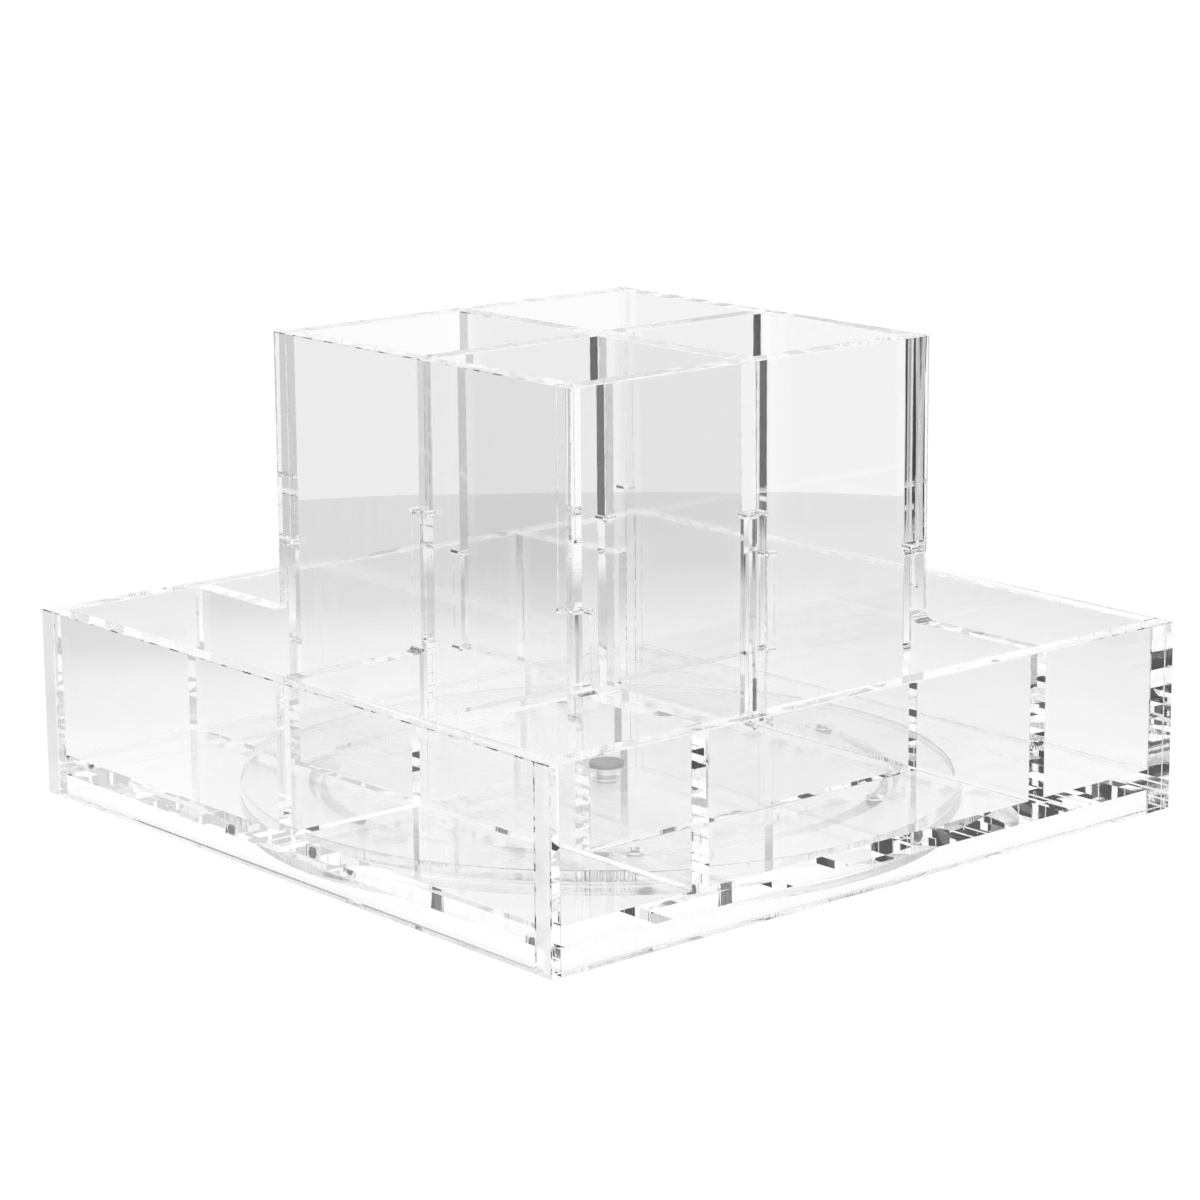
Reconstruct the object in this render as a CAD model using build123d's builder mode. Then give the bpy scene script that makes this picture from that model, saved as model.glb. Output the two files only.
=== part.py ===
from build123d import *
import os

# Rotating desk organizer, in millimetres. The origin is on the desk, under the middle of the
# turntable. X runs along the front wall, Y from the front wall to the back wall, Z up.

# Tray, cemented from sheet
tray_side = 230.0
sheet = 6.0
wall_height = 55.0
desk_clearance = 3.0
floor_lift = 6.0
glue_line = 0.05
arris = 0.25

# Tower and dividers, an egg crate of slotted sheet. The dividers lap high with the front and
# right panels, and low with the back and left ones. In the tower they stop above the floor.
tower_side = 131.0
tower_height = 136.5
divider_lift = 24.0
high_lap = 94.0
low_lap = 65.0
centre_lap = 84.5
corner_lap = 76.5
slot_play = 0.1
relief_radius = 0.9
wing_fillet = 3.0

# Two discs of the turntable
disc_diameter = 203.0
disc_thickness = 3.2
disc_arris = 0.2
foot_height = 2.0

# Ball bearing between the discs
ball_count = 6
ball_diameter = 4.76
ball_circle = 162.0
ball_phase = 26.0
ball_play = 0.1
pocket_play = 0.4

# Pivot through the floor plate and the middle of the discs
shoulder_diameter = 5.7
shoulder_play = 0.06
head_diameter = 10.6
head_height = 1.2
head_seat_play = 0.1
thread_diameter = 4.0
thread_play = 0.1
nut_flats = 7.0
nut_height = 2.2
nut_recess = 1.2
nut_recess_diameter = 8.8
metal_arris = 0.25

# Pads under the lower disc
foot_count = 6
foot_diameter = 10.5
foot_circle = 162.0
foot_phase = 36.0
foot_rounding = 0.6

# Levels that follow from the sizes above
rim = desk_clearance + wall_height
tower_top = desk_clearance + tower_height
floor_bottom = desk_clearance + floor_lift
floor_top = floor_bottom + sheet
panel_bottom = floor_top + glue_line
divider_bottom = floor_top + divider_lift
high_lap_level = desk_clearance + high_lap
low_lap_level = desk_clearance + low_lap
centre_lap_level = desk_clearance + centre_lap
corner_lap_level = desk_clearance + corner_lap
upper_disc_top = floor_bottom - glue_line
upper_disc_bottom = upper_disc_top - disc_thickness
lower_disc_bottom = foot_height
lower_disc_top = lower_disc_bottom + disc_thickness
ball_level = (upper_disc_bottom + lower_disc_top) / 2
pocket_ceiling = ball_level + ball_diameter / 2 + ball_play
head_bottom = floor_top + head_seat_play
shoulder_bottom = lower_disc_top + glue_line
nut_bottom = lower_disc_bottom + nut_recess - glue_line - nut_height

# Widths that follow from the sizes above
fitted_side = tray_side - 2 * (sheet + glue_line)
wall_middle = (tray_side - sheet) / 2
tower_wall_middle = (tower_side - sheet) / 2
tower_inner = tower_side - 2 * (sheet + slot_play)
slot_width = sheet + 2 * slot_play
pivot_bore = shoulder_diameter + 2 * shoulder_play

standing = (Align.CENTER, Align.CENTER, Align.MIN)

os.makedirs("parts", exist_ok=True)


def save(part, name):
    part.label = name
    export_step(part, f"parts/{name}.step")


def at_level(shapes, axis, level):
    return shapes.filter_by_position(axis, level - glue_line, level + glue_line)


# The functions below draw inside the sketch that is open when they are called. In the sketch
# of an upright panel, X is the distance from the tower's axis and Y is the height above the desk.
def stretch(width, low, high, mode=Mode.ADD):
    with Locations((0, (low + high) / 2)):
        Rectangle(width, high - low, mode=mode)


# Round relief in an inner corner, so that the square corner of the other panel can seat
def relieve(place, level):
    with Locations((place, level)):
        Circle(relief_radius, mode=Mode.SUBTRACT)


def relieve_both(width, level):
    relieve(-width / 2, level)
    relieve(width / 2, level)


def slot_from_below(level):
    stretch(slot_width, panel_bottom, level, Mode.SUBTRACT)
    relieve_both(slot_width, level)


def slot_from_above(level):
    stretch(slot_width, level, tower_top, Mode.SUBTRACT)
    relieve_both(slot_width, level)


# Slot for a tongue that stops above the floor, closed at both ends
def closed_slot(level):
    seat = divider_bottom - slot_play
    stretch(slot_width, seat, level, Mode.SUBTRACT)
    relieve_both(slot_width, seat)
    relieve_both(slot_width, level)


# Tongue of a divider, through the slot of the tower panel on one side
def tongue(side, bottom, level):
    with Locations((side * tower_side / 4, (bottom + level) / 2)):
        Rectangle(tower_side / 2, level - bottom)
    relieve(side * tower_inner / 2, level)


# The roots of the wings are the corners at the rim that the tower's width takes in
def round_wing_roots(outline):
    reach = tower_side / 2 + glue_line
    roots = at_level(outline.vertices(), Axis.Y, rim).filter_by_position(Axis.X, -reach, reach)
    fillet(roots, wing_fillet)


# Side walls run the whole length of the tray
for name, side in (("left_wall", -1), ("right_wall", 1)):
    with BuildPart(Plane((side * wall_middle, 0, desk_clearance))) as side_wall:
        Box(sheet, tray_side, wall_height, align=standing)
        chamfer(side_wall.edges(), arris)
    save(side_wall.part, name)

# Front and back walls are let in between the side walls
for name, side in (("front_wall", -1), ("back_wall", 1)):
    with BuildPart(Plane((0, side * wall_middle, desk_clearance))) as end_wall:
        Box(fitted_side, sheet, wall_height, align=standing)
        chamfer(end_wall.edges(), arris)
    save(end_wall.part, name)

# Floor plate, let in between the four walls above a skirt, and bored for the pivot screw
with BuildPart(Plane.XY.offset(floor_bottom)) as floor_plate:
    Box(fitted_side, fitted_side, sheet, align=standing)
    Hole(pivot_bore / 2)
save(floor_plate.part, "floor_plate")

# Front and back tower panels, tall in the middle with a low wing to each side wall
for name, side, cut_slot, lap_level in (
    ("front_tower_panel", -1, slot_from_below, high_lap_level),
    ("back_tower_panel", 1, closed_slot, low_lap_level),
):
    with BuildPart() as winged_panel:
        with BuildSketch(Plane.XZ.offset(-side * tower_wall_middle)) as outline:
            stretch(fitted_side, panel_bottom, rim)
            stretch(tower_side, panel_bottom, corner_lap_level - slot_play)
            stretch(tower_inner, panel_bottom, tower_top)
            round_wing_roots(outline)
            relieve_both(tower_inner, corner_lap_level - slot_play)
            cut_slot(lap_level)
        extrude(amount=sheet / 2, both=True)
        chamfer(at_level(winged_panel.edges(), Axis.Z, tower_top), arris)
    save(winged_panel.part, name)

# Left and right tower panels, which close the tower between the other two
for name, side, lap_level in (
    ("left_tower_panel", -1, low_lap_level),
    ("right_tower_panel", 1, high_lap_level),
):
    with BuildPart() as side_panel:
        with BuildSketch(Plane.YZ.offset(side * tower_wall_middle)):
            stretch(tower_inner, panel_bottom, tower_top)
            stretch(tower_side, corner_lap_level, tower_top)
            relieve_both(tower_inner, corner_lap_level)
            closed_slot(lap_level)
        extrude(amount=sheet / 2, both=True)
        chamfer(at_level(side_panel.edges(), Axis.Z, tower_top), arris)
    save(side_panel.part, name)

# Long divider, tall in the tower, with a low wing across the front trough
with BuildPart() as long_divider:
    with BuildSketch(Plane.YZ) as outline:
        stretch(tower_inner, panel_bottom, tower_top)
        with Locations((-(fitted_side + tower_inner) / 4, (panel_bottom + rim) / 2)):
            Rectangle((fitted_side - tower_inner) / 2, rim - panel_bottom)
        tongue(-1, panel_bottom, high_lap_level - slot_play)
        tongue(1, divider_bottom, low_lap_level - slot_play)
        round_wing_roots(outline)
        slot_from_above(centre_lap_level - slot_play)
        stretch(tower_inner, panel_bottom, divider_bottom, Mode.SUBTRACT)
    extrude(amount=sheet / 2, both=True)
    chamfer(at_level(long_divider.edges(), Axis.Z, tower_top), arris)
save(long_divider.part, "long_divider")

# Cross divider, in the tower only
with BuildPart() as cross_divider:
    with BuildSketch(Plane.XZ):
        stretch(tower_inner, divider_bottom, tower_top)
        tongue(-1, divider_bottom, low_lap_level - slot_play)
        tongue(1, divider_bottom, high_lap_level - slot_play)
        slot_from_below(centre_lap_level)
    extrude(amount=sheet / 2, both=True)
    chamfer(at_level(cross_divider.edges(), Axis.Z, tower_top), arris)
save(cross_divider.part, "cross_divider")

# Upper disc, with a blind pocket for each ball
with BuildPart(Plane.XY.offset(upper_disc_bottom)) as upper_disc:
    Cylinder(disc_diameter / 2, disc_thickness, align=standing)
    chamfer(upper_disc.edges(), disc_arris)
    Hole(pivot_bore / 2)
    with PolarLocations(ball_circle / 2, ball_count, start_angle=ball_phase):
        Cylinder(
            ball_diameter / 2 + pocket_play,
            pocket_ceiling - upper_disc_bottom,
            align=standing,
            mode=Mode.SUBTRACT,
        )
save(upper_disc.part, "upper_disc")

# Lower disc, with a round groove that the balls run in and a recess for the nut underneath
with BuildPart() as lower_disc:
    with BuildSketch(Plane.XY.offset(lower_disc_bottom)):
        Circle(disc_diameter / 2)
        Circle(thread_diameter / 2 + thread_play, mode=Mode.SUBTRACT)
    extrude(amount=disc_thickness)
    rims = lower_disc.edges().filter_by(GeomType.CIRCLE).group_by(SortBy.RADIUS)[-1]
    chamfer(rims, disc_arris)
    with BuildSketch(Plane.XZ):
        with Locations((ball_circle / 2, ball_level)):
            Circle(ball_diameter / 2 + ball_play)
    revolve(axis=Axis.Z, mode=Mode.SUBTRACT)
    with BuildSketch(Plane.XY.offset(lower_disc_bottom)):
        Circle(nut_recess_diameter / 2)
    extrude(amount=nut_recess, mode=Mode.SUBTRACT)
save(lower_disc.part, "lower_disc")

# Pivot screw: a flat head on the floor plate, a shoulder that the tray turns on, a threaded end
with BuildPart() as pivot_screw:
    with BuildSketch(Plane.XZ):
        with Locations((0, head_bottom)):
            Rectangle(head_diameter / 2, head_height, align=Align.MIN)
        with Locations((0, shoulder_bottom)):
            Rectangle(shoulder_diameter / 2, head_bottom - shoulder_bottom, align=Align.MIN)
        with Locations((0, nut_bottom)):
            Rectangle(thread_diameter / 2, shoulder_bottom - nut_bottom, align=Align.MIN)
    revolve(axis=Axis.Z)
    chamfer(pivot_screw.edges().filter_by(GeomType.CIRCLE).sort_by(Axis.Z)[-1], metal_arris)
save(pivot_screw.part, "pivot_screw")

# Pivot nut, in the recess under the lower disc
with BuildPart() as pivot_nut:
    with BuildSketch(Plane.XY.offset(nut_bottom)):
        RegularPolygon(nut_flats / 2, 6, major_radius=False)
        Circle(thread_diameter / 2 + glue_line, mode=Mode.SUBTRACT)
    extrude(amount=nut_height)
save(pivot_nut.part, "pivot_nut")

# Bearing balls, evenly spaced
for number in range(ball_count):
    angle = ball_phase + number * 360 / ball_count
    with BuildPart(Plane.XY.offset(ball_level).rotated((0, 0, angle))) as bearing_ball:
        with Locations((ball_circle / 2, 0)):
            Sphere(ball_diameter / 2)
    save(bearing_ball.part, f"bearing_ball_{number + 1}")

# Foot pads, evenly spaced under the lower disc
for number in range(foot_count):
    angle = foot_phase + number * 360 / foot_count
    with BuildPart(Plane.XY.rotated((0, 0, angle))) as foot_pad:
        with Locations((foot_circle / 2, 0)):
            Cylinder(foot_diameter / 2, foot_height - glue_line, align=standing)
        fillet(foot_pad.edges().filter_by(GeomType.CIRCLE).sort_by(Axis.Z)[0], foot_rounding)
    save(foot_pad.part, f"foot_pad_{number + 1}")
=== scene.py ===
import math

import bpy
from mathutils import Matrix, Vector


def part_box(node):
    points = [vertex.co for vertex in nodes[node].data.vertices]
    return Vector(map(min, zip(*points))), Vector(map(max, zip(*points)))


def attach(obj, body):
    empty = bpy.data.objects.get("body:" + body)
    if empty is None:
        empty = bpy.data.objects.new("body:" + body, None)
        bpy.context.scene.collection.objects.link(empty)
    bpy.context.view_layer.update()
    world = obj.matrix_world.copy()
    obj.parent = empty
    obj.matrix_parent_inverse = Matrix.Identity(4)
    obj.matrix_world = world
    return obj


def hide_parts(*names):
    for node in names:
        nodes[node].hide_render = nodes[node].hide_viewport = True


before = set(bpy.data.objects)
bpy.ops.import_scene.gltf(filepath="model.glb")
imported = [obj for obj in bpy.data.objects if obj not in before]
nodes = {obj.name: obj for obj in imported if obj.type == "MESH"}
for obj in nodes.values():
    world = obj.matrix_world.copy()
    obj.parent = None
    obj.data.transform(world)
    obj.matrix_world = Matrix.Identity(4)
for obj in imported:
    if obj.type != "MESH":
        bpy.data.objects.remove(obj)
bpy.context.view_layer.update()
mm = 0.001
skin = 0.02 * mm  # how near a point is to a face to count as on it


# A socket of a node tree, with the usual arithmetic, and & and | for masks of 0 and 1
class Wire:
    def __init__(self, tree, socket):
        self.tree = tree
        self.socket = socket

    def math(self, operation, *others):
        return self.tree.add("ShaderNodeMath", {"operation": operation}, self, *others)

    def __add__(self, other):
        return self.math("ADD", other)

    def __sub__(self, other):
        return self.math("SUBTRACT", other)

    def __rsub__(self, other):
        return self.math("MULTIPLY_ADD", -1.0, other)

    def __mul__(self, other):
        return self.math("MULTIPLY", other)

    def __truediv__(self, other):
        return self.math("DIVIDE", other)

    __radd__ = __add__
    __rmul__ = __mul__
    __and__ = __mul__

    def __or__(self, other):
        return self.math("MAXIMUM", other)

    def __abs__(self):
        return self.math("ABSOLUTE")

    def over(self, limit):
        return self.math("GREATER_THAN", limit)

    def under(self, limit):
        return self.math("LESS_THAN", limit)

    def inside(self, low, high):
        return self.over(low) & self.under(high)

    def near(self, value, reach):
        return self.math("COMPARE", value, reach)

    def ramp(self, low, high):
        return self.tree.add("ShaderNodeMapRange", {}, self, low, high, 0.0, 1.0)

    def noise(self, grain, seed=0.0):
        settings = {"noise_dimensions": "1D"}
        along = self / grain + seed
        return self.tree.add("ShaderNodeTexNoise", settings, W=along, Scale=1.0, Detail=0.0)


class Tree:
    def __init__(self, nodeTree):
        self.nodes = nodeTree.nodes
        self.links = nodeTree.links
        self.nodes.clear()

    # Settings are set first, then the values or links of the sockets, by order or by name
    def add(self, kind, settings, *values, output=0, **named):
        node = self.nodes.new(kind)
        for name, setting in settings.items():
            setattr(node, name, setting)
        sockets = dict(enumerate(values))
        sockets.update({name.replace("_", " "): value for name, value in named.items()})
        for key, value in sockets.items():
            if isinstance(value, Wire):
                self.links.new(value.socket, node.inputs[key])
            else:
                node.inputs[key].default_value = value
        return Wire(self, node.outputs[output]) if node.outputs else None

    def parts(self, vector):
        split = self.add("ShaderNodeSeparateXYZ", {}, vector)
        return [Wire(self, out) for out in split.socket.node.outputs]

    def here(self):
        return self.parts(self.add("ShaderNodeTexCoord", {}, output="Object"))

    def ray(self, name):
        return self.add("ShaderNodeLightPath", {}, output=name)

    # 1 for light that has been mirrored on its way, as on a face or along the inside of a sheet
    def mirrored(self):
        return self.ray("Glossy Depth").over(0.5)

    # Noise with a grain of its own along each axis
    def noise(self, parts, grains, detail=0.0):
        scaled = [part / grain for part, grain in zip(parts, grains)]
        place = self.add("ShaderNodeCombineXYZ", {}, *scaled)
        return self.add("ShaderNodeTexNoise", {}, place, Scale=1.0, Detail=detail)

    def bump(self, height, depth):
        return self.add("ShaderNodeBump", {}, Height=height, Strength=1.0, Distance=depth)

    def mix(self, share, first, second):
        return self.add("ShaderNodeMixShader", {}, share, first, second)

    # Passing is the share of rays that go straight on, at a cemented joint or to make a shadow
    def surface(self, shader, passing=0.0):
        if passing:
            clear = self.add("ShaderNodeBsdfTransparent", {}, (1, 1, 1, 1))
            shader = self.mix(passing, shader, clear)
        self.add("ShaderNodeOutputMaterial", {}, shader)


def newMaterial(name):
    material = bpy.data.materials.new(name)
    material.use_nodes = True
    return material, Tree(material.node_tree)


def blend(first, second, share):
    return first * (1 - share) + second * share


# Camera, where a person stands over the desk
camera = {
    "place": (789.7 * mm, -673.4 * mm, 300.1 * mm),
    "yaw": 49.56,
    "pitch": 12.90,
    "roll": -0.417,
    "lens": 111.64,
    "sensor": 36.0,
}


def makeCamera():
    yaw, pitch, roll = (math.radians(camera[name]) for name in ("yaw", "pitch", "roll"))
    level = Vector((-math.sin(yaw), math.cos(yaw), 0))
    ahead = level * math.cos(pitch) - Vector((0, 0, math.sin(pitch)))
    right = Vector((math.cos(yaw), math.sin(yaw), 0))
    up = right.cross(ahead)
    leaningRight = right * math.cos(roll) + up * math.sin(roll)
    leaningUp = up * math.cos(roll) - right * math.sin(roll)
    data = bpy.data.cameras.new("camera")
    data.lens = camera["lens"]
    data.sensor_width = camera["sensor"]
    holder = bpy.data.objects.new("camera", data)
    bpy.context.scene.collection.objects.link(holder)
    turn = Matrix((leaningRight, leaningUp, -ahead)).transposed().to_4x4()
    holder.matrix_world = Matrix.Translation(camera["place"]) @ turn
    bpy.context.scene.camera = holder
    print("camera placed")


makeCamera()

# A white table in a studio that mirrored rays alone see bright behind, grey on one side and dark on
# the other: a painted reflection of a room, while for light and for the camera the world is evenly
# white.
# The camera meets white all round. Through the acrylic, the floor's glow falls off towards its edge
# as painted shade, and mirrored rays see a painted darker table.
studio = {
    "floorSize": 8.0,
    "bright": 1.0,
    "darkWay": (-0.76, -0.65),
    "dark": 0.02,
    "greyWay": (0.76, 0.65),
    "grey": 0.66,
    "sideFrom": 0.45,
    "sideTo": 0.85,
    "softboxFrom": 0.45,
    "softboxTo": 0.75,
    "paintedNearGlow": 1.05,
    "nearReach": 0.16,
    "paintedFarShade": 0.84,
    "farReach": 0.32,
    "tableEnd": 0.48,
    "backdrop": 1.02,
    "paintedMirrorGlow": 1.05,
    "paintedMirrorShade": 0.62,
    "mirrorReach": 0.26,
    "sideEdge": 0.31,
    "sideFade": 0.04,
    "seenWhite": 1.05,
    "lit": 0.12,
    "tableTone": (0.9, 0.9, 0.9, 1),
    "white": (1, 1, 1, 1),
}


# How bright the painted reflection of the studio is in the direction of a point, for what mirrors it
def paintedRoomReflection(x, y):
    reach = (x * x + y * y).math("SQRT")
    tone = studio["bright"]
    for way, level in (("darkWay", "dark"), ("greyWay", "grey")):
        towards = (x * studio[way][0] + y * studio[way][1]) / reach
        share = towards.ramp(studio["sideFrom"], studio["sideTo"])
        tone = tone - share * (studio["bright"] - studio[level])
    return tone


def makeWorld():
    world = bpy.data.worlds.new("studio")
    bpy.context.scene.world = world
    world.use_nodes = True
    tree = Tree(world.node_tree)
    x, y, z = tree.parts(tree.add("ShaderNodeTexCoord", {}, output="Generated"))
    mirrored = tree.mirrored()
    through = tree.ray("Is Transmission Ray") & (1 - mirrored)
    plain = through * (studio["backdrop"] - 1.0) + 1.0
    # Mirrored rays see the painted reflection of the room, white towards the top; all other rays see
    # even white
    lifted = z.ramp(studio["softboxFrom"], studio["softboxTo"])
    room = blend(paintedRoomReflection(x, y), 1.0, lifted)
    shade = tree.add("ShaderNodeBackground", {}, studio["white"], blend(plain, room, mirrored))
    tree.add("ShaderNodeOutputWorld", {}, shade)


def makeFloor():
    size = studio["floorSize"]
    mesh = bpy.data.meshes.new("floor")
    corners = [(-size, -size), (size, -size), (size, size), (-size, size)]
    mesh.from_pydata([(x, y, -skin) for x, y in corners], [], [(0, 1, 2, 3)])
    floor = bpy.data.objects.new("floor", mesh)
    bpy.context.scene.collection.objects.link(floor)
    material, tree = newMaterial("white table")
    mesh.materials.append(material)
    # The floor glows, though it is no lamp: evenly white to the camera, painted light near the object
    # falling to painted shade further out for rays through the acrylic, and for mirrored rays a
    # painted reflection of a darker table and, past its edge, of the room
    x, y = tree.here()[:2]
    reach = (x * x + y * y).math("SQRT")
    fall = reach.ramp(studio["nearReach"], studio["farReach"])
    table = blend(studio["paintedNearGlow"], studio["paintedFarShade"], fall)
    behind = blend(table, studio["backdrop"], reach.over(studio["tableEnd"]))
    sink = reach.ramp(studio["nearReach"], studio["mirrorReach"])
    edge = reach.ramp(studio["sideEdge"], studio["sideEdge"] + studio["sideFade"])
    # Painted reflection: a darker table, then the painted room past its edge
    mirror = blend(blend(studio["paintedMirrorGlow"], studio["paintedMirrorShade"], sink), paintedRoomReflection(x, y), edge)
    mirrored = tree.mirrored()
    glow = blend(blend(behind, mirror, mirrored), studio["seenWhite"], tree.ray("Is Camera Ray"))
    shine = tree.add("ShaderNodeEmission", {}, studio["white"], glow)
    paint = tree.add("ShaderNodeBsdfDiffuse", {}, studio["tableTone"])
    tree.surface(tree.mix((1 - mirrored) * studio["lit"], shine, paint))


makeWorld()
makeFloor()
print("studio made")

# Where the sheets meet, read from the frame. A seam has its middle and half its width.
seamMargin = 0.015 * mm


def seam(inner, outer, axis):
    start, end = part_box(inner)[1][axis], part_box(outer)[0][axis]
    return (start + end) / 2, (end - start) / 2 + seamMargin


wallSeam = seam("floor_plate", "right_wall", 0)
footSeam = seam("floor_plate", "long_divider", 2)
discSeam = seam("upper_disc", "floor_plate", 2)
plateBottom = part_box("floor_plate")[0].z
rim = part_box("right_wall")[1].z
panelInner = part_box("right_tower_panel")[0].x
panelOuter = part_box("right_tower_panel")[1].x
panelMiddle = (panelInner + panelOuter) / 2
halfSheet = (panelOuter - panelInner) / 2
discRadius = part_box("upper_disc")[1].x

# Solvent cement joins the sheets. Where it has run the joint can't be seen, and where it hasn't
# a thin film of air shows as a mirror. The higher a run is, the more of the joint is filled: at
# 0.5 it is about half, and from 0.9 nearly all of it.
cement = {
    "slotPlay": 0.1 * mm,
    "cornerLap": 79.45 * mm,
    "highLap": 97.0 * mm,
    "lowLap": 68.0 * mm,
    "cornerGrains": (6.0 * mm, 6.0 * mm, 4.2 * mm),
    "cornerRuns": (0.78, 0.50),
    "wingGrains": (4.0 * mm, 4.0 * mm, 2.4 * mm),
    "wingRuns": (0.86, 0.49),
    "bubbleGrains": (9.0 * mm, 12.0 * mm),
    "bubbleLean": 1.2,
    "endPlateRun": 0.90,
    "sidePlateRun": 0.60,
    "footGrains": (9.0 * mm, 9.0 * mm),
    "footRun": 0.62,
    "fluteGrains": (1.0 * mm, 1.0 * mm, 90.0 * mm),
    "wetFluteRun": 0.86,
    "dryFluteRun": 0.36,
}
film = cement["slotPlay"] / 2 + seamMargin  # reach to both sides of the play in a slot or lap
crateSide = panelInner - cement["slotPlay"] / 2
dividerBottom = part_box("cross_divider")[0].z


# The run falls along the right wall, from the first value at its front end to the second at its
# back end
def runAlong(y, runs):
    return blend(*runs, y.ramp(-wallSeam[0], wallSeam[0]))


# Bands of air across the corners of the tray, but for those of the left wall
def cornerJoint(tree, x, y, z):
    run = runAlong(y, cement["cornerRuns"])
    joined = tree.noise((x, y, z), cement["cornerGrains"]).under(run) | x.under(0)
    return abs(x).near(*wallSeam) & abs(y).over(wallSeam[0]) & joined


# Bubbles round the floor plate, which lean as the cement ran. There are none on the left wall.
def plateJoint(tree, x, y, z):
    run = blend(cement["endPlateRun"], cement["sidePlateRun"], abs(x).over(abs(y)))
    leaning = x + y + z * cement["bubbleLean"]
    bubbles = tree.noise((leaning, z), cement["bubbleGrains"]).over(run)
    joined = (1 - bubbles) | (x + abs(y)).under(0)
    edge = (abs(x) | abs(y)).near(*wallSeam)  # the larger of the two is at the seam
    return edge & z.inside(plateBottom - seamMargin, footSeam[0]) & joined


# Thin bands of air where the wings end on the right wall
def wingJoint(tree, x, y, z):
    run = runAlong(y, cement["wingRuns"])
    joined = tree.noise((x, y, z), cement["wingGrains"]).under(run) | x.under(panelOuter)
    sides = abs(x).near(*wallSeam) & abs(y).near(panelMiddle, halfSheet)
    end = abs(y).near(*wallSeam) & y.under(0) & abs(x).under(halfSheet)
    return (sides | end) & z.inside(footSeam[0], rim) & joined


# The feet of the panels and of the long divider on the floor plate. There is some air under the
# side panels.
def footJoint(tree, x, y, z):
    half = halfSheet + seamMargin
    joined = tree.noise((x, y), cement["footGrains"]).under(cement["footRun"])
    ends = abs(y).near(panelMiddle, half) & abs(x).under(wallSeam[0])
    sides = abs(x).near(panelMiddle, half) & abs(y).under(panelInner) & joined
    long = abs(x).under(half) & y.inside(-wallSeam[0], -panelInner)
    return (ends | sides | long) & z.near(*footSeam)


def discJoint(tree, x, y, z):
    return z.near(*discSeam) & (x * x + y * y).under(discRadius * discRadius)


# The far right corner of the tower took the least cement, above the lap of its panels
def dryCorner(x, y, z):
    return x.over(0) & y.over(0) & z.over(cement["cornerLap"])


# Upright flutes of air in the corners of the tower, where the panels lap
def lapJoint(tree, x, y, z):
    lap = cement["cornerLap"]
    run = blend(cement["wetFluteRun"], cement["dryFluteRun"], dryCorner(x, y, z))
    joined = tree.noise((x, y, z), cement["fluteGrains"]).under(run)
    upper = abs(x).near(crateSide, film) & abs(y).over(crateSide) & z.over(lap)
    lower = abs(y).near(crateSide, film) & abs(x).inside(crateSide, panelOuter) & z.under(lap)
    seat = z.near(lap, film) & abs(x).over(crateSide) & abs(y).inside(crateSide, panelOuter)
    return (upper | lower) & joined | seat


# The dividers in the slots of the tower panels, up to where they lap. One cheek of the right slot
# stayed dry, which shows as a dark line.
def slotJoint(tree, x, y, z):
    side = halfSheet + cement["slotPlay"] / 2
    longLap = blend(cement["lowLap"], cement["highLap"], y.under(0))
    crossLap = blend(cement["lowLap"], cement["highLap"], x.over(0))
    wet = x.under(0) | y.over(0)
    seat = z.near(dividerBottom, cement["slotPlay"] + seamMargin)
    long = abs(x).near(side, film) & z.under(longLap) | abs(x).under(side) & seat
    cross = abs(y).near(side, film) & z.under(crossLap) & wet | abs(y).under(side) & seat
    ends = long & abs(y).inside(crateSide, panelOuter)
    return ends | cross & abs(x).inside(crateSide, panelOuter)


# The joints that each sheet has
sheets = {
    "left_wall": (cornerJoint, plateJoint, wingJoint),
    "right_wall": (cornerJoint, plateJoint, wingJoint),
    "front_wall": (cornerJoint, plateJoint, wingJoint),
    "back_wall": (cornerJoint, plateJoint, wingJoint),
    "floor_plate": (plateJoint, footJoint, discJoint),
    "front_tower_panel": (wingJoint, footJoint, lapJoint, slotJoint),
    "back_tower_panel": (wingJoint, footJoint, lapJoint, slotJoint),
    "left_tower_panel": (footJoint, lapJoint, slotJoint),
    "right_tower_panel": (footJoint, lapJoint, slotJoint),
    "long_divider": (wingJoint, footJoint, slotJoint),
    "cross_divider": (slotJoint,),
}

# Clear acrylic. The cutter leaves fine marks on every edge and a ripple along the upper ones. The
# arris is scraped white in short strokes, the dry corner of the tower is sanded dull and painted
# white along its edge as a painted highlight, and the front ends of the side walls are satin.
acrylic = {
    "seedStep": 1.7,
    "ior": 1.49,
    "tone": 0.985,
    "smudge": 0.008,
    "smudgeGrain": 30.0 * mm,
    "cutDepth": 0.012 * mm,
    "ripple": 4.5 * mm,
    "fine": 0.35 * mm,
    "fineShare": 0.06,
    "sanding": 1.0 * mm,
    "sandedRough": 0.60,
    "cornerHighlightWhite": 0.90,
    "satinRough": 0.30,
    "arris": 0.25 * mm,
    "arrisWhite": 0.75,
    "scrapedTone": (0.95, 0.95, 0.95, 1),
    "stroke": 5.0 * mm,
    "strokeFrom": 0.38,
    "strokeTo": 0.50,
    "shadow": 0.9,
}


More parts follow.
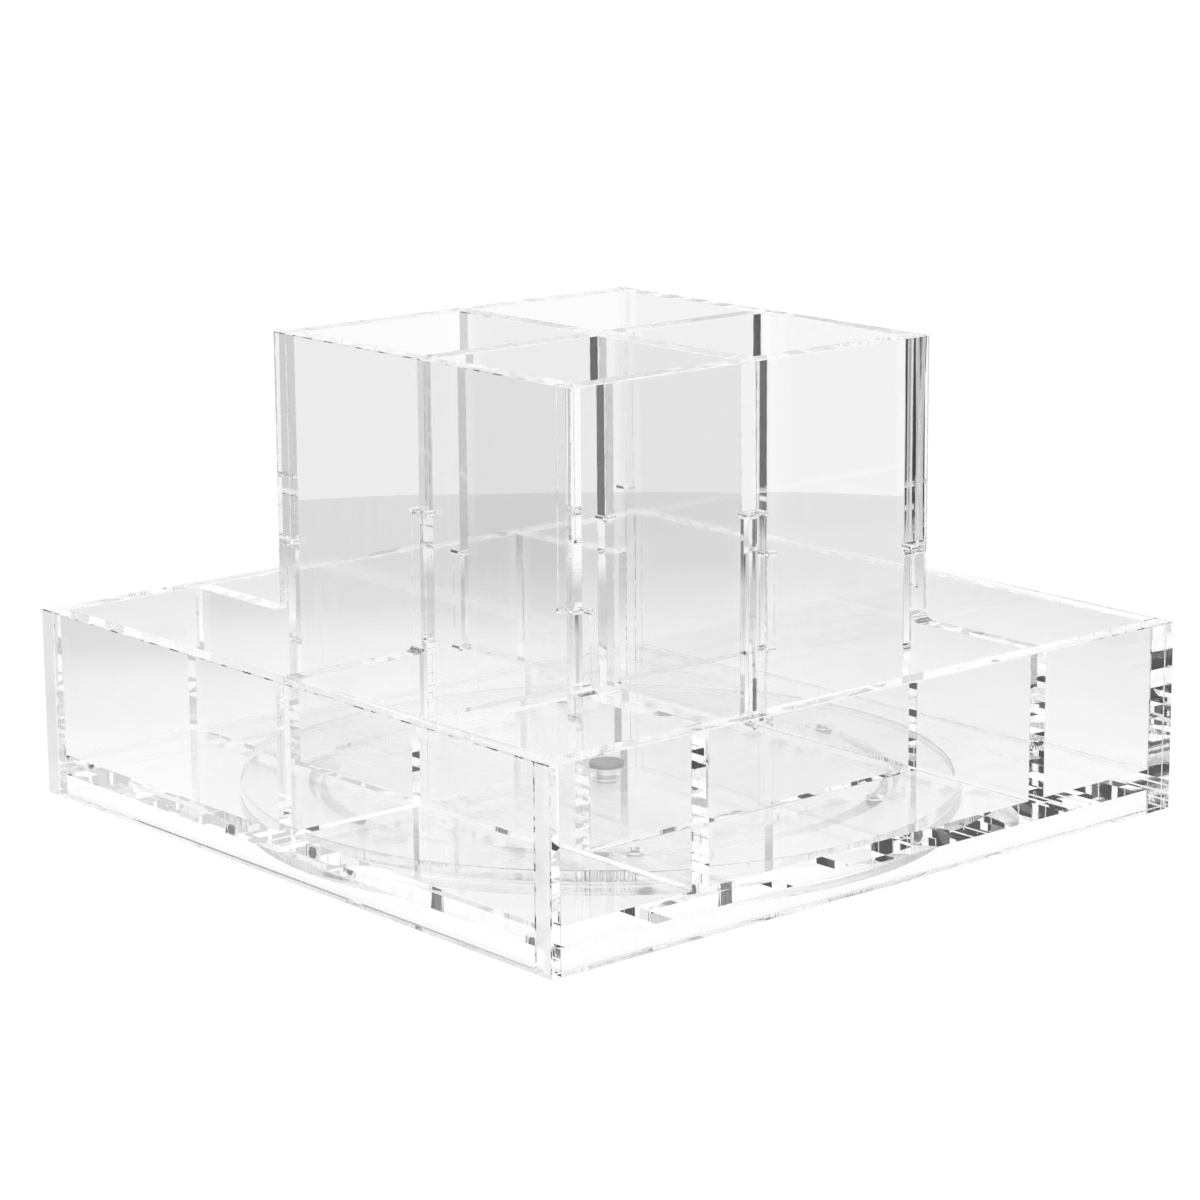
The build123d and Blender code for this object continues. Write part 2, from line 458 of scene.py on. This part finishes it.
def sheetMaterial(name, seed):
    material, tree = newMaterial("clear acrylic " + name.replace("_", " "))
    low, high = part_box(name)
    thin = min(range(3), key=lambda axis: high[axis] - low[axis])
    middle, half = (low[thin] + high[thin]) / 2, (high[thin] - low[thin]) / 2
    here = tree.here()
    x, y, z = here
    wide = [axis for axis in range(3) if axis != thin]
    across = abs(here[thin] - middle)
    along = here[wide[0]] + here[wide[1]]
    edge = across.under(half - skin)
    upper = z.near(rim, acrylic["arris"]) | z.over(high.z - acrylic["arris"])
    ripple = along.noise(acrylic["ripple"], seed) & upper
    marks = ripple + along.noise(acrylic["fine"], seed) * acrylic["fineShare"]
    strokes = along.noise(acrylic["stroke"], seed).ramp(acrylic["strokeFrom"], acrylic["strokeTo"])
    scraped = edge & across.over(half - acrylic["arris"]) & strokes & z.over(low.z + half)
    milky = scraped * acrylic["arrisWhite"]
    rough = 0.0
    if "tower_panel" in name:
        corner = edge & z.inside(cement["cornerLap"], high.z - acrylic["arris"])
        sanded = corner & dryCorner(x, y, z) & abs(x).near(crateSide, film + skin)
        sanding = sanded & here[thin].noise(acrylic["sanding"], seed)
        rough = sanding * acrylic["sandedRough"]
        # The sanded corner is rough, and its white is a painted highlight
        milky = milky | (sanding * acrylic["cornerHighlightWhite"])
        marks = marks * (1 - corner)
    elif name in ("left_wall", "right_wall"):
        rough = y.under(low.y + skin) * acrylic["satinRough"]
    normal = tree.bump(marks * edge, acrylic["cutDepth"])
    smudges = tree.noise(here, (acrylic["smudgeGrain"],) * 3, 1.0)
    tone = smudges * acrylic["smudge"] + acrylic["tone"]
    sheet = tree.add(
        "ShaderNodeBsdfPrincipled", {}, Roughness=rough, Normal=normal,
        Base_Color=tree.add("ShaderNodeCombineColor", {}, tone, tone, tone),
        IOR=acrylic["ior"], Transmission_Weight=1.0,
    )
    if name != "floor_plate":  # its edges were left as cut
        white = tree.add("ShaderNodeBsdfDiffuse", {}, acrylic["scrapedTone"])
        sheet = tree.mix(milky, sheet, white)
    joined = tree.ray("Is Shadow Ray") * acrylic["shadow"]
    for joint in sheets[name]:
        joined = joined | joint(tree, x, y, z)
    tree.surface(sheet, joined)
    return material


# The rims of the discs are turned, which leaves fine upright marks
disc = {
    "tone": (0.985, 0.985, 0.985, 1),
    "arris": 0.2 * mm,
    "marks": 0.6 * mm,
    "waves": 6.0 * mm,
    "depth": 0.11 * mm,
    "rough": 0.05,
}


def discMaterial(name):
    material, tree = newMaterial("clear acrylic " + name.replace("_", " "))
    x, y, z = tree.here()
    reach = (x * x + y * y).math("SQRT")
    along = y.math("ARCTAN2", x) * discRadius
    edge = reach.over(discRadius - disc["arris"])
    marks = along.noise(disc["marks"]) + along.noise(disc["waves"])
    plate = tree.add(
        "ShaderNodeBsdfPrincipled", {}, Base_Color=disc["tone"], Roughness=edge * disc["rough"],
        Normal=tree.bump(marks * edge, disc["depth"]), IOR=acrylic["ior"], Transmission_Weight=1.0,
    )
    joined = discJoint(tree, x, y, z) | (tree.ray("Is Shadow Ray") * acrylic["shadow"])
    tree.surface(plate, joined)
    return material


# Steel of the balls, the screw and the nut, with a fine uneven grain
steel = {
    "grain": 0.4 * mm,
    "detail": 2.0,
    "leastRough": 0.7,
    "roughSpread": 0.6,
    # The balls are toned much darker than steel: painted shade for the dark surroundings they mirror
    "ballPaintedShadeTone": (0.25, 0.25, 0.26, 1),
    "ballRough": 0.06,
    "pivotTone": (0.28, 0.28, 0.285, 1),
    "pivotRough": 0.30,
}


def steelMaterial(name, tone, rough):
    material, tree = newMaterial(name)
    grain = tree.noise(tree.here(), (steel["grain"],) * 3, steel["detail"])
    metal = tree.add(
        "ShaderNodeBsdfPrincipled", {}, Base_Color=tone, Metallic=1.0,
        Roughness=grain * rough * steel["roughSpread"] + rough * steel["leastRough"],
    )
    tree.surface(metal)
    return material


def dress(name, material):
    slots = nodes[name].data.materials
    slots.clear()
    slots.append(material)


polishedSteel = steelMaterial("polished ball steel", steel["ballPaintedShadeTone"], steel["ballRough"])
turnedSteel = steelMaterial("turned pivot steel", steel["pivotTone"], steel["pivotRough"])
for name in nodes:
    if name.startswith("bearing"):
        dress(name, polishedSteel)
    elif name.startswith("pivot"):
        dress(name, turnedSteel)
    elif name.endswith("disc"):
        dress(name, discMaterial(name))
for number, name in enumerate(sheets):
    dress(name, sheetMaterial(name, number * acrylic["seedStep"]))
print("sheets, discs and steel dressed")

# Soft clear pads under the lower disc, in a ring
pads = {
    "sides": 48,
    "rows": 12,
    "rounding": 0.6 * mm,
    "sharpFrom": 30,
    "grain": 1.5 * mm,
    "rough": 0.08,
    "ior": 1.45,
    "tone": (0.96, 0.96, 0.96, 1),
}


def padMaterial():
    material, tree = newMaterial("clear soft pad")
    grain = tree.noise(tree.here(), (pads["grain"],) * 3, 1.0)
    soft = tree.add(
        "ShaderNodeBsdfPrincipled", {}, Base_Color=pads["tone"], Roughness=grain * pads["rough"],
        IOR=pads["ior"], Transmission_Weight=1.0,
    )
    tree.surface(soft, tree.ray("Is Shadow Ray") * acrylic["shadow"])
    return material


# A ring of pads, each a disc whose bottom edge is drawn in to a quarter round
def padTree(material):
    group = bpy.data.node_groups.new("foot pads", "GeometryNodeTree")
    group.interface.new_socket("Geometry", in_out="OUTPUT", socket_type="NodeSocketGeometry")
    kinds = {"Count": "Int", "Reach": "Float", "Phase": "Float", "Radius": "Float",
             "Height": "Float", "Rounding": "Float"}
    for name, kind in kinds.items():
        group.interface.new_socket(name, in_out="INPUT", socket_type="NodeSocket" + kind)
    tree = Tree(group)
    start = tree.add("NodeGroupInput", {})
    outputs = start.socket.node.outputs
    count, reach, phase, radius, height, rounding = (Wire(tree, outputs[name]) for name in kinds)
    pad = tree.add(
        "GeometryNodeMeshCylinder", {"fill_type": "TRIANGLE_FAN"},
        Vertices=pads["sides"], Side_Segments=pads["rows"], Radius=radius, Depth=height,
    )
    x, y, z = tree.parts(tree.add("GeometryNodeInputPosition", {}))
    rise = z + height * 0.5
    gap = (rounding - rise).math("MAXIMUM", 0.0)
    drawn = radius - rounding + (rounding * rounding - gap * gap).math("MAXIMUM", 0.0).math("SQRT")
    scale = drawn / radius
    place = tree.add("ShaderNodeCombineXYZ", {}, x * scale, y * scale, rise)
    pad = tree.add("GeometryNodeSetPosition", {}, pad, Position=place)
    ring = tree.add("GeometryNodeMeshCircle", {}, Vertices=count, Radius=reach)
    ring = tree.add(
        "GeometryNodeTransform", {}, ring,
        Rotation=tree.add("ShaderNodeCombineXYZ", {}, 0.0, 0.0, phase),
    )
    copies = tree.add("GeometryNodeInstanceOnPoints", {}, ring, Instance=pad)
    whole = tree.add("GeometryNodeRealizeInstances", {}, copies)
    tree.add("NodeGroupOutput", {}, tree.add("GeometryNodeSetMaterial", {}, whole, Material=material))
    return group


def makePads():
    names = sorted(name for name in nodes if name.startswith("foot_pad"))
    low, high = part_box(names[0])
    middle = (low + high) / 2
    sizes = {
        "Count": len(names),
        "Reach": math.hypot(middle.x, middle.y),
        "Phase": math.atan2(middle.y, middle.x),
        "Radius": (high.x - low.x) / 2,
        "Height": high.z - low.z,
        "Rounding": pads["rounding"],
    }
    material = padMaterial()
    holder = bpy.data.objects.new("pad maker", bpy.data.meshes.new("pad maker"))
    bpy.context.scene.collection.objects.link(holder)
    modifier = holder.modifiers.new("pads", "NODES")
    modifier.node_group = padTree(material)
    for socket in modifier.node_group.interface.items_tree:
        if socket.in_out == "INPUT":
            modifier[socket.identifier] = sizes[socket.name]
    made = holder.evaluated_get(bpy.context.evaluated_depsgraph_get())
    mesh = bpy.data.meshes.new_from_object(made)
    bpy.data.objects.remove(holder)
    mesh.name = "foot_pads"
    mesh.shade_smooth()
    mesh.set_sharp_from_angle(angle=math.radians(pads["sharpFrom"]))
    piece = bpy.data.objects.new("foot_pads", mesh)
    bpy.context.scene.collection.objects.link(piece)
    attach(piece, "base")
    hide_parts(*names)
    print("foot pads made:", len(names))


makePads()

# Light crosses many sheets, and runs a long way inside them
scene = bpy.context.scene
scene.view_settings.view_transform = "Standard"
scene.cycles.max_bounces = 64
scene.cycles.transmission_bounces = 64
scene.cycles.glossy_bounces = 48
scene.cycles.transparent_max_bounces = 64
